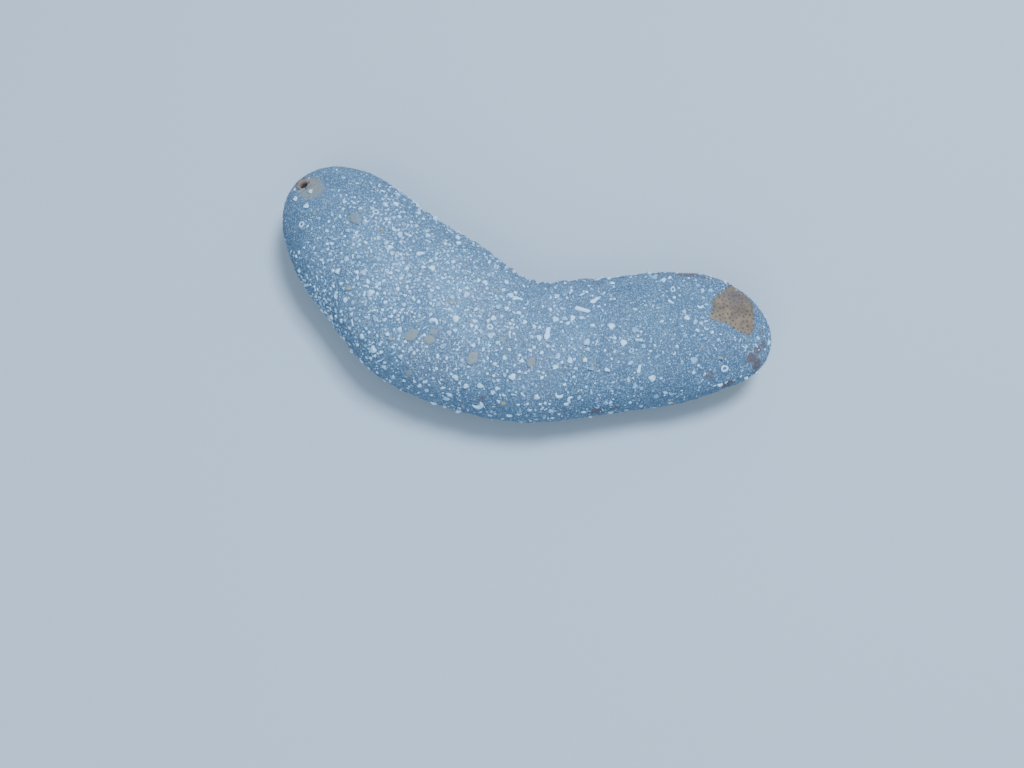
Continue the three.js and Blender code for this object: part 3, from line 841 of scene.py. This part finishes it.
def ring_form():
    form = bmesh.new()
    start = Matrix.Translation((0.36, 0, 0)) @ Matrix.Rotation(math.pi / 2, 4, "X")
    bmesh.ops.create_circle(form, cap_ends=False, segments=5, radius=0.14, matrix=start)
    bmesh.ops.spin(
        form, geom=form.verts[:] + form.edges[:], cent=(0, 0, 0), axis=(0, 0, 1),
        angle=2 * math.pi, steps=11, use_merge=True,
    )
    bmesh.ops.scale(form, vec=(1, 0.85, 0.8), verts=form.verts)
    return finish_form(form, rough=0.05, seed=5)


def club_form():
    form = bmesh.new()
    bmesh.ops.create_uvsphere(form, u_segments=10, v_segments=8, radius=0.5, matrix=ALONG_X)
    for vert in form.verts:
        waist = 1 - 0.55 * math.exp(-(((vert.co.x - 0.05) / 0.16) ** 2))
        vert.co.y *= 0.56 * waist
        vert.co.z *= 0.42 * waist
    return finish_form(form, rough=0.08, seed=6)


SHELL_FORMS = {
    "oval": worn_form(2, 0.68, 0.34, rough=0.17, seed=1),
    "flake": broken_form(7, 0.74, 0.24, top=0.38, rough=0.2, seed=9),
    "wedge": broken_form(4, 0.7, 0.34, top=0.28, rough=0.24, seed=11),
    "rod": rod_form(),
    "moon": moon_form(),
    "ring": ring_form(),
    "club": club_form(),
    "pebble": worn_form(3, 0.74, 0.26, rough=0.12, seed=12),
}

# The largest bits lie where the photograph shows them. Each has its form, share of the length,
# angle, length in mm, turn from the midline towards the far side in degrees, and tone.
LARGE_BITS = [
    ("rod", 0.659, 77, 8.8, -25, 0.95),
    ("moon", 0.416, 108.5, 6.6, 0, 0.95),
    ("oval", 0.444, 99, 4.8, -20, 0.9),
    ("oval", 0.611, 82.5, 4.4, 45, 0.6),
    ("oval", 0.708, 91.5, 4.8, 70, 0.8),
    ("club", 0.596, 93, 7.6, 75, 0.8),
    ("club", 0.533, 66.5, 4.6, 10, 0.95),
    ("oval", 0.526, 68.5, 3.4, 80, 0.9),
    ("moon", 0.514, 163.5, 8.6, -140, 0.7),
    ("moon", 0.605, 143, 5.6, 160, 0.85),
    ("moon", 0.624, 151.5, 5.2, 60, 0.75),
    ("oval", 0.838, 90, 3.8, 10, 0.95),
    ("oval", 0.721, 105, 4.6, 60, 0.9),
    ("club", 0.685, 68.5, 6.4, 35, 0.85),
    ("oval", 0.353, 78.5, 4.4, 30, 0.85),
    ("oval", 0.091, 113.5, 4.4, 70, 0.65),
    ("ring", 0.116, 126, 4.4, 80, 0.65),
    ("ring", 0.189, 72.5, 4.6, 0, 0.65),
    ("ring", 0.499, 95, 4.0, 0, 0.85),
    ("moon", 0.862, 79, 4.6, 180, 0.9),
    ("oval", 0.764, 139, 4.8, -30, 0.8),
    ("club", 0.744, 127.5, 5.0, 70, 0.85),
    ("ring", 0.918, 138, 5.0, 0, 0.8),
    ("pebble", 0.396, 122, 9.0, 55, 0.7),
    ("pebble", 0.425, 119.5, 6.6, 20, 0.85),
    ("pebble", 0.422, 113.5, 4.6, 30, 0.6),
    ("pebble", 0.493, 121, 8.4, 75, 0.9),
    ("pebble", 0.572, 114, 6.2, 60, 0.5),
    ("pebble", 0.523, 101.5, 4.0, 30, 0.8),
    ("pebble", 0.416, 152.5, 5.0, 70, 0.5),
    ("pebble", 0.178, 87.5, 9.5, -5, 0.05),
]

columns = (np.array(column) for column in zip(*LARGE_BITS))
large_kind, large_share, large_angle, large_length, large_turn, large_tones = columns
aimed = skin_point(large_share, large_angle)
nearest = [int(np.argmin(np.linalg.norm(place - point, axis=1))) for point in aimed]
large_points = place[nearest]
large_up = outward[nearest]
ahead = np.column_stack([along_line(large_share, line_ahead), np.zeros(len(nearest))])
left = np.cross(large_up, ahead)
left /= np.linalg.norm(left, axis=1)[:, None]
ahead = np.cross(left, large_up)
turn = np.radians(large_turn)[:, None]
length = ahead * np.cos(turn) + left * np.sin(turn)
large_frames = np.stack([length, np.cross(large_up, length), large_up], axis=1)
large_sizes = large_length[:, None] * MM * np.array([1, 1, 0.55])
clear_places(large_points, BIT_CLEARANCE * large_sizes[:, 0])

for number, (kind, count) in enumerate(SHELL_COUNTS.items()):
    random = np.random.default_rng(300 + number)
    points, normals, shares, angles = scatter(count, grit_weight, 30 + number)
    across = SHELL_BIT * np.clip(random.lognormal(0, 0.36, size=count), 0.5, 2)
    sizes = across[:, None] * random.uniform(0.7, 1.3, size=(count, 3))
    frames = lay(normals, 0.15, random)
    tones = np.clip(random.normal(0.62, 0.26, size=count), 0.1, 1)
    keep = clear_places(points, BIT_CLEARANCE * across)
    large = large_kind == kind
    normals = np.vstack([normals[keep], large_up[large]])
    sizes = np.vstack([sizes[keep], large_sizes[large]])
    points = np.vstack([points[keep], large_points[large]]) + normals * sizes[:, 2:] * 0.05
    shares = np.append(shares[keep], large_share[large])
    angles = np.append(angles[keep], large_angle[large])
    shell = lay_copies(
        f"shell_{kind}s", SHELL_FORMS[kind], worn_pebble if kind == "pebble" else shell_grit, points,
        np.vstack([frames[keep], large_frames[large]]), sizes, on_unwrap(shares, angles),
        np.append(tones[keep], large_tones[large]), smooth=kind not in ("flake", "wedge"),
    )

# Coarse grains: broken shell of about a millimetre, between the larger bits.
COARSE_GRAIN = 1.15 * MM
COARSE_GRAINS = 4200

chip = worn_form(1, 0.74, 0.4, rough=0.24, seed=3)
random = np.random.default_rng(200)
points, normals, shares, angles = scatter(COARSE_GRAINS, grit_weight, 20)
across = COARSE_GRAIN * random.lognormal(0, 0.25, size=len(points))
keep = clear_places(points, BIT_CLEARANCE * across)
sizes = across[keep, None] * random.uniform(0.7, 1.2, size=(len(keep), 3))
points = points[keep] + normals[keep] * sizes[:, 2:] * 0.4 * (0.5 - BURIED)
tones = np.clip(random.normal(0.5, 0.25, size=len(keep)), 0.1, 1)
grit = lay_copies(
    "coarse_grit", chip, shell_grit, points, lay(normals[keep], 0.3, random), sizes,
    on_unwrap(shares[keep], angles[keep]), tones,
)

# The vent: a slit across the tail's tip in a low puckered ring, with an orange lip on its tail side
# and five groups of small papillae. It is turned from a profile and then bent to the skin.
VENT_PROFILE = [
    (0, -3.6), (0.8, -3.5), (1.25, -2.6), (1.4, -1.4), (1.55, -0.4), (1.85, 0.25), (2.3, 0.6),
    (2.9, 0.72), (3.6, 0.64), (4.4, 0.44), (5.2, 0.22), (5.9, 0.05), (6.6, -0.4),
]
VENT_STEPS = 96
VENT_FOLDS = 15
VENT_TILT = math.radians(25)
VENT_GROUPS = 5


def turned(profile, steps):
    """A profile of radius and height points, spun round local Z and closed."""
    form = bmesh.new()
    verts = [form.verts.new((radius, 0, height)) for radius, height in profile]
    for start, end in zip(verts, verts[1:]):
        form.edges.new((start, end))
    bmesh.ops.spin(
        form, geom=form.verts[:] + form.edges[:], cent=(0, 0, 0), axis=(0, 0, 1),
        angle=2 * math.pi, steps=steps, use_merge=True,
    )
    bmesh.ops.remove_doubles(form, verts=form.verts, dist=1e-6)
    bmesh.ops.recalc_face_normals(form, faces=form.faces)
    return form


def turned_mesh(name, profile, steps):
    """The mesh of a turned profile in mm."""
    form = turned([(radius * MM, height * MM) for radius, height in profile], steps)
    mesh = bpy.data.meshes.new(name)
    form.to_mesh(mesh)
    form.free()
    return mesh


def round_axis(turn):
    """Directions across local Z, at turns in radians."""
    return np.stack([np.cos(turn), np.sin(turn), np.zeros(len(turn))], axis=-1)


vent_mesh = turned_mesh("vent_opening", VENT_PROFILE, VENT_STEPS)
flat = read_vectors(vent_mesh.vertices, "co")
reach = np.hypot(flat[:, 0], flat[:, 1])
turn = np.arctan2(flat[:, 1], flat[:, 0])
slit = 1 - ease(reach, 1.5 * MM, 5 * MM)
puckers = np.cos(VENT_FOLDS * turn + 1.5 * np.sin(2 * turn)) * hill(reach, 2.5 * MM, 1.3 * MM)
local = flat * np.stack([1 + 0.1 * slit, 1 + 0.55 * slit, np.zeros(len(flat))], axis=-1)
tail_side = 0.5 - 0.5 * np.cos(turn)
raised = -flat[:, 0] * math.tan(VENT_TILT) * (1 - ease(reach, 2.5 * MM, 6.2 * MM))
raised += 0.45 * MM * tail_side**2 * hill(reach, 2.9 * MM, 1.1 * MM)
for point in local:
    above = vent @ Vector((point[0], point[1], LOCAL_REACH))
    hit = unbroken_skin.ray_cast(above, -vent_axis)[0]
    point[2] = (vent.inverted() @ hit).z
local[:, 2] += flat[:, 2] + 0.2 * MM * puckers + raised
points = from_frame(local, vent)
set_points(vent_mesh, points)
vent_covers = {
    "veil": veil_amount(points, np.full(len(points), VENT_SHARE), np.full(len(points), 90.0)),
    "brown": 0.5 * hill(reach, 1.8 * MM, 0.8 * MM),
    "orange": 0.8 * hill(reach, 2.1 * MM, 0.9 * MM) * tail_side**2,
    # Painted shade: the vent's hollow is darkened towards its middle and bottom.
    "hollow": 1 - ease(reach + flat[:, 2], 0.6 * MM, 1.6 * MM),
}
for name, values in vent_covers.items():
    vent_mesh.attributes.new(name, "FLOAT", "POINT").data.foreach_set("value", values)
vent_opening = new_piece("vent_opening", vent_mesh, sanded_skin)
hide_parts("vent_disc")
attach(vent_opening, "root")

papilla = finish_form(turned([(0, 0), (0.5, 0), (0.46, 0.3), (0.32, 0.7), (0.17, 0.92), (0, 1)], 7))
group, member = np.divmod(np.arange(3 * VENT_GROUPS), 3)
turn = 2 * math.pi * (group + 0.17 * (member - 1)) / VENT_GROUPS
sideways = round_axis(turn) * np.array([1, 1.25, 1])
feet = sideways * 3.1 * MM
for point in feet:
    nearest = np.argmin(np.hypot(local[:, 0] - point[0], local[:, 1] - point[1]))
    point[2] = local[nearest, 2] - 0.2 * MM
vent_turn = np.array(vent.to_3x3())
up = (np.array([0, 0, 1]) + 0.3 * sideways) @ vent_turn.T
random = np.random.default_rng(160)
sizes = np.where(member == 1, 1.1, 0.8)[:, None] * MM * np.array([0.7, 0.7, 1])
papillae = lay_copies(
    "vent_papillae", papilla, pigmented_skin, from_frame(feet, vent), lay(up, 0.05, random), sizes,
    on_unwrap(np.full(len(turn), VENT_SHARE), np.full(len(turn), float(VENT_ANGLE))),
    random.uniform(0.4, 1, size=len(turn)), smooth=True,
)

# The mouth's collar: a thick ring of wrinkled skin round the mouth, with two rings of papillae.
COLLAR_STEPS = 120
COLLAR_SIDES = 14
COLLAR_FOLDS = 24
COLLAR_PAPILLAE = 40

# Bare brown skin, wet and leathery: finely grained, satin, darker in its folds.
bare_brown_skin, mottle = mottled_material("bare_brown_skin", 2.2 * MM, 4.0)
where = add_node(bare_brown_skin, "TexCoord").outputs["Object"]
spread = add_node(bare_brown_skin, "MapRange", {"Value": mottle, "From Min": 0.35, "From Max": 0.65})
brown = layered(bare_brown_skin, "#73563d", (spread, "#b08f67"))
pores = add_node(bare_brown_skin, "TexVoronoi", {"Vector": where, "Scale": 1 / (0.6 * MM)})
brown_bump = add_node(bare_brown_skin, "Bump", {"Height": pores, "Strength": 0.4, "Distance": 0.15 * MM})
set_surface(bare_brown_skin, Base_Color=brown, Roughness=0.48, Normal=brown_bump)

round_tube = [2 * math.pi * side / COLLAR_SIDES for side in range(COLLAR_SIDES + 1)]
collar_profile = [
    ((COLLAR_RADIUS + COLLAR_TUBE * math.cos(step)) / MM, (ORAL_DEPTH + COLLAR_TUBE * math.sin(step)) / MM)
    for step in round_tube
]
collar_mesh = turned_mesh("mouth_ring", collar_profile, COLLAR_STEPS)
local = read_vectors(collar_mesh.vertices, "co")
turn = np.arctan2(local[:, 1], local[:, 0])
folds = 1 + 0.1 * np.cos(COLLAR_FOLDS * turn) + 0.05 * np.cos(67 * turn + 3 * local[:, 2] / MM)
tube_centre = np.stack([np.cos(turn), np.sin(turn)], axis=-1) * COLLAR_RADIUS
local[:, :2] = tube_centre + (local[:, :2] - tube_centre) * folds[:, None]
local[:, 2] = ORAL_DEPTH + (local[:, 2] - ORAL_DEPTH) * folds
set_points(collar_mesh, from_frame(local, mouth))
mouth_ring = new_piece("mouth_ring", collar_mesh, bare_brown_skin)
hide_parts("mouth_collar")
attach(mouth_ring, "root")

mouth_turn = np.array(mouth.to_3x3())
mouth_place = np.array([mouth_share])
random = np.random.default_rng(170)
turn = 2 * math.pi * (np.arange(COLLAR_PAPILLAE) + 0.5) / COLLAR_PAPILLAE
outer = np.arange(COLLAR_PAPILLAE) % 2
sideways = round_axis(turn)
feet = sideways * (COLLAR_RADIUS - 0.2 * MM + 0.9 * MM * outer)[:, None]
feet[:, 2] = ORAL_DEPTH + 1.0 * MM - 0.3 * MM * outer
up = (np.array([0, 0, 1]) + (0.15 + 0.5 * outer)[:, None] * sideways) @ mouth_turn.T
sizes = (2.3 - 0.6 * outer)[:, None] * MM * np.array([0.62, 0.62, 1])
collar_papillae = lay_copies(
    "collar_papillae", papilla, bare_brown_skin, from_frame(feet, mouth), lay(up, 0.05, random), sizes,
    on_unwrap(np.repeat(mouth_place, COLLAR_PAPILLAE), 270 + 10 * sideways[:, 1]),
    random.uniform(0, 1, size=COLLAR_PAPILLAE), smooth=True,
)

# The oral disc: a soft round plate with the round mouth and its lip in the middle.
DISC_PROFILE = [
    (0, -1.8), (1.0, -1.7), (1.6, -1.1), (1.8, -0.2), (2.3, 0.5), (2.9, 0.75), (3.6, 0.6),
    (4.4, 0.2), (5.8, 0.0), (7.4, 0.1), (9.0, 0.0), (10.3, 0.0), (11.3, -0.9),
]
DISC_STEPS = 80

disc_mesh = turned_mesh("mouth_disc", DISC_PROFILE, DISC_STEPS)
local = read_vectors(disc_mesh.vertices, "co")
turn = np.arctan2(local[:, 1], local[:, 0])
reach = np.hypot(local[:, 0], local[:, 1])
local[:, 2] += 0.16 * MM * np.cos(20 * turn) * hill(reach, 2.8 * MM, 1.2 * MM)
local[:, 2] += 0.12 * MM * np.cos(20 * turn) * hill(reach, 7.4 * MM, 2.5 * MM)
set_points(disc_mesh, from_frame(local, mouth))
mouth_disc = new_piece("mouth_disc", disc_mesh, bare_brown_skin)
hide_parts("oral_disc")
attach(mouth_disc, "root")

# Twenty feeding tentacles in two rings round the mouth: each a wrinkled stalk that ends in a shield
# of knobbed fingers, with which the animal picks up sand. The inner ring is shorter and leans in.
TENTACLES = 20
TENTACLE_ROOT_RADIUS = 7.4 * MM
TENTACLE_ROOT_DEPTH = 1 * MM
STALK_RADIUS = 0.95 * MM
OUTER_TENTACLE = {"length": 10.9 * MM, "lean": 22, "shield": 3.05 * MM, "fingers": 13}
INNER_TENTACLE = {"length": 7.4 * MM, "lean": -11, "shield": 1.5 * MM, "fingers": 9}


def tentacle_form(length, shield, fingers):
    """One tentacle along +Z, with its root at the origin."""
    rings = 14
    profile = [(0, 0)]
    for step in range(rings + 1):
        wrinkle = 1 + 0.09 * math.cos(2.6 * step)
        flare = 1 + 0.7 * max(0, step / rings - 0.8) / 0.2
        profile.append((STALK_RADIUS * wrinkle * flare * (1 - 0.12 * step / rings), length * step / rings))
    profile.append((0, length + 0.1 * MM))
    form = turned(profile, 10)
    plate = Matrix.Translation((0, 0, length)) @ Matrix.Diagonal((0.72, 0.72, 0.36, 1))
    bmesh.ops.create_uvsphere(form, u_segments=14, v_segments=7, radius=shield, matrix=plate)
    finger_rings = (0.68, fingers, 0.1, 0.15, 78), (0.36, fingers // 2, 0.3, 0.13, 16)
    for ring_share, count, rise, thick, lean in finger_rings:
        for finger in range(count):
            spin = Matrix.Rotation(2 * math.pi * (finger + 0.3 * math.sin(3 * finger)) / count, 4, "Z")
            tip_lean = Matrix.Rotation(math.radians(lean), 4, "Y")
            foot = Matrix.Translation((0, 0, length + rise * shield))
            root = foot @ spin @ Matrix.Translation((ring_share * shield * 0.8, 0, 0)) @ tip_lean
            reach = shield * (0.4 + 0.08 * math.sin(5 * finger))
            bmesh.ops.create_cone(
                form, cap_ends=True, segments=6, radius1=thick * shield, radius2=0.6 * thick * shield,
                depth=reach, matrix=root @ Matrix.Translation((0, 0, reach / 2)),
            )
            for side, along in ((0, 1.0), (-1, 0.72), (1, 0.78)):
                knob = root @ Matrix.Translation((0, side * thick * shield * 0.9, reach * along))
                bmesh.ops.create_icosphere(form, subdivisions=1, radius=thick * shield * 0.85, matrix=knob)
    return finish_form(form)


# Tentacle skin: moist, yellow brown on the stalk and grey brown on the fingers, with pale knobs.
tentacle_skin, mottle = mottled_material("tentacle_skin", 1.1 * MM, 4.0)
tone = read_attribute(tentacle_skin, "tone")
spread = add_node(tentacle_skin, "MapRange", {"Value": mottle, "From Min": 0.38, "From Max": 0.62})
pale = layered(tentacle_skin, "#a88a5f", (tone, "#b9a27c"))
finger_colour = layered(tentacle_skin, "#5f4a36", (spread, pale))
wet_bump = add_node(tentacle_skin, "Bump", {"Height": mottle, "Strength": 0.5, "Distance": 0.15 * MM})
set_surface(tentacle_skin, Base_Color=finger_colour, Roughness=0.42, Normal=wet_bump)

for name, kind, first in (("outer_tentacles", OUTER_TENTACLE, 0), ("inner_tentacles", INNER_TENTACLE, 1)):
    index = np.arange(first, TENTACLES, 2)
    turn = 2 * math.pi * index / TENTACLES
    sideways = round_axis(turn)
    lean = math.radians(kind["lean"])
    up = (sideways * math.sin(lean) + np.array([0, 0, math.cos(lean)])) @ mouth_turn.T
    feet = sideways * TENTACLE_ROOT_RADIUS
    feet[:, 2] = -TENTACLE_ROOT_DEPTH
    whole_length = kind["length"] + TENTACLE_ROOT_DEPTH
    sizes = np.ones((len(index), 3))
    sizes[:, 2] += 0.06 * np.sin(5 * index) * kind["length"] / whole_length
    random = np.random.default_rng(180 + first)
    tentacles = lay_copies(
        name, tentacle_form(whole_length, kind["shield"], kind["fingers"]), tentacle_skin,
        from_frame(feet, mouth), lay(up, 0.0, random), sizes,
        on_unwrap(np.repeat(mouth_place, len(index)), 270 + 8 * sideways[:, 1]),
        random.uniform(0, 1, size=len(index)), smooth=True,
    )
    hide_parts(*[f"tentacle_{number + 1:02d}" for number in index])

# Tube feet of the sole: short soft pegs that end in flat suckers on the floor, all over the sole,
# with a row on each side that reaches out under the flank.
FOOT_WIDTH = 1.8 * MM
FOOT_SPACING = 4.2 * MM
FOOT_ROOT_HEIGHT = 2.2 * MM
FEET_FROM = 0.1
FEET_TO = 0.845
SOLE_REACH = 0.62
EDGE_FOOT_SPACING = 4.8 * MM
EDGE_FOOT_ROOT = 0.69
EDGE_FOOT_REACH = 0.83
EDGE_FOOT_ROOT_HEIGHT = 3.4 * MM
FOOT_PROFILE = [
    (0, 0.1), (0.3, 0.05), (0.45, 0), (0.5, 0.08), (0.44, 0.2), (0.3, 0.34), (0.27, 0.7), (0.32, 1), (0, 1),
]

# Tube-foot skin: thin, wet and slightly see-through, cream with a tan sucker.
foot_skin, mottle = mottled_material("tube_foot_skin", 0.7 * MM, 2.0)
tone = read_attribute(foot_skin, "tone")
where = add_node(foot_skin, "TexCoord").outputs["Object"]
height = add_node(foot_skin, "SeparateXYZ", {"Vector": where}).outputs["Z"]
near_floor = add_node(foot_skin, "MapRange", {"Value": height, "From Min": 0.3 * MM, "From Max": 0.9 * MM})
stalk_colour = layered(foot_skin, "#cdb48d", (tone, "#e3d3b0"))
foot_colour = layered(foot_skin, "#9a7850", (near_floor, stalk_colour))
foot_bump = add_node(foot_skin, "Bump", {"Height": mottle, "Strength": 0.3, "Distance": 0.1 * MM})
set_surface(foot_skin, Base_Color=foot_colour, Roughness=0.45, Normal=foot_bump)

random = np.random.default_rng(190)
rows = np.arange(FEET_FROM, FEET_TO, FOOT_SPACING / BODY_LENGTH)
lanes = np.arange(-60 * MM, 60 * MM, FOOT_SPACING)
shares, across = (grid.ravel() for grid in np.meshgrid(rows, lanes))
shares = shares + random.normal(0, 0.18, size=shares.size) * FOOT_SPACING / BODY_LENGTH
across = across + random.normal(0, 0.18, size=across.size) * FOOT_SPACING
on_sole = np.abs(across) < SOLE_REACH * half_width(shares)
shares = shares[on_sole]
across = across[on_sole]
sole_points = beside_line(shares, across, 0)
edge_shares = np.repeat(np.arange(FEET_FROM, FEET_TO, EDGE_FOOT_SPACING / BODY_LENGTH), 2)
side = np.tile([1.0, -1.0], len(edge_shares) // 2)
edge_reach = EDGE_FOOT_REACH + random.uniform(-0.03, 0.01, size=len(side))
edge = side * half_width(edge_shares)
edge_points = beside_line(edge_shares, edge_reach * edge, 0)
edge_roots = beside_line(edge_shares, EDGE_FOOT_ROOT * edge, EDGE_FOOT_ROOT_HEIGHT)
rise = np.vstack([np.tile([0, 0, FOOT_ROOT_HEIGHT], (len(sole_points), 1)), edge_roots - edge_points])
points = np.vstack([sole_points, edge_points])
length = round_axis(random.uniform(0, 2 * math.pi, size=len(points)))
width = np.cross([0, 0, 1], length)
wide = FOOT_WIDTH * random.uniform(0.8, 1.15, size=len(points))
sizes = np.stack([wide, wide, np.ones(len(points))], axis=-1)
feet = lay_copies(
    "sole_tube_feet", finish_form(turned(FOOT_PROFILE, 8)), foot_skin, points,
    np.stack([length, width, rise], axis=1), sizes,
    on_unwrap(np.append(shares, edge_shares), 270 + np.append(across, side * 40 * MM) / MM),
    random.uniform(0, 1, size=len(points)), smooth=True,
)
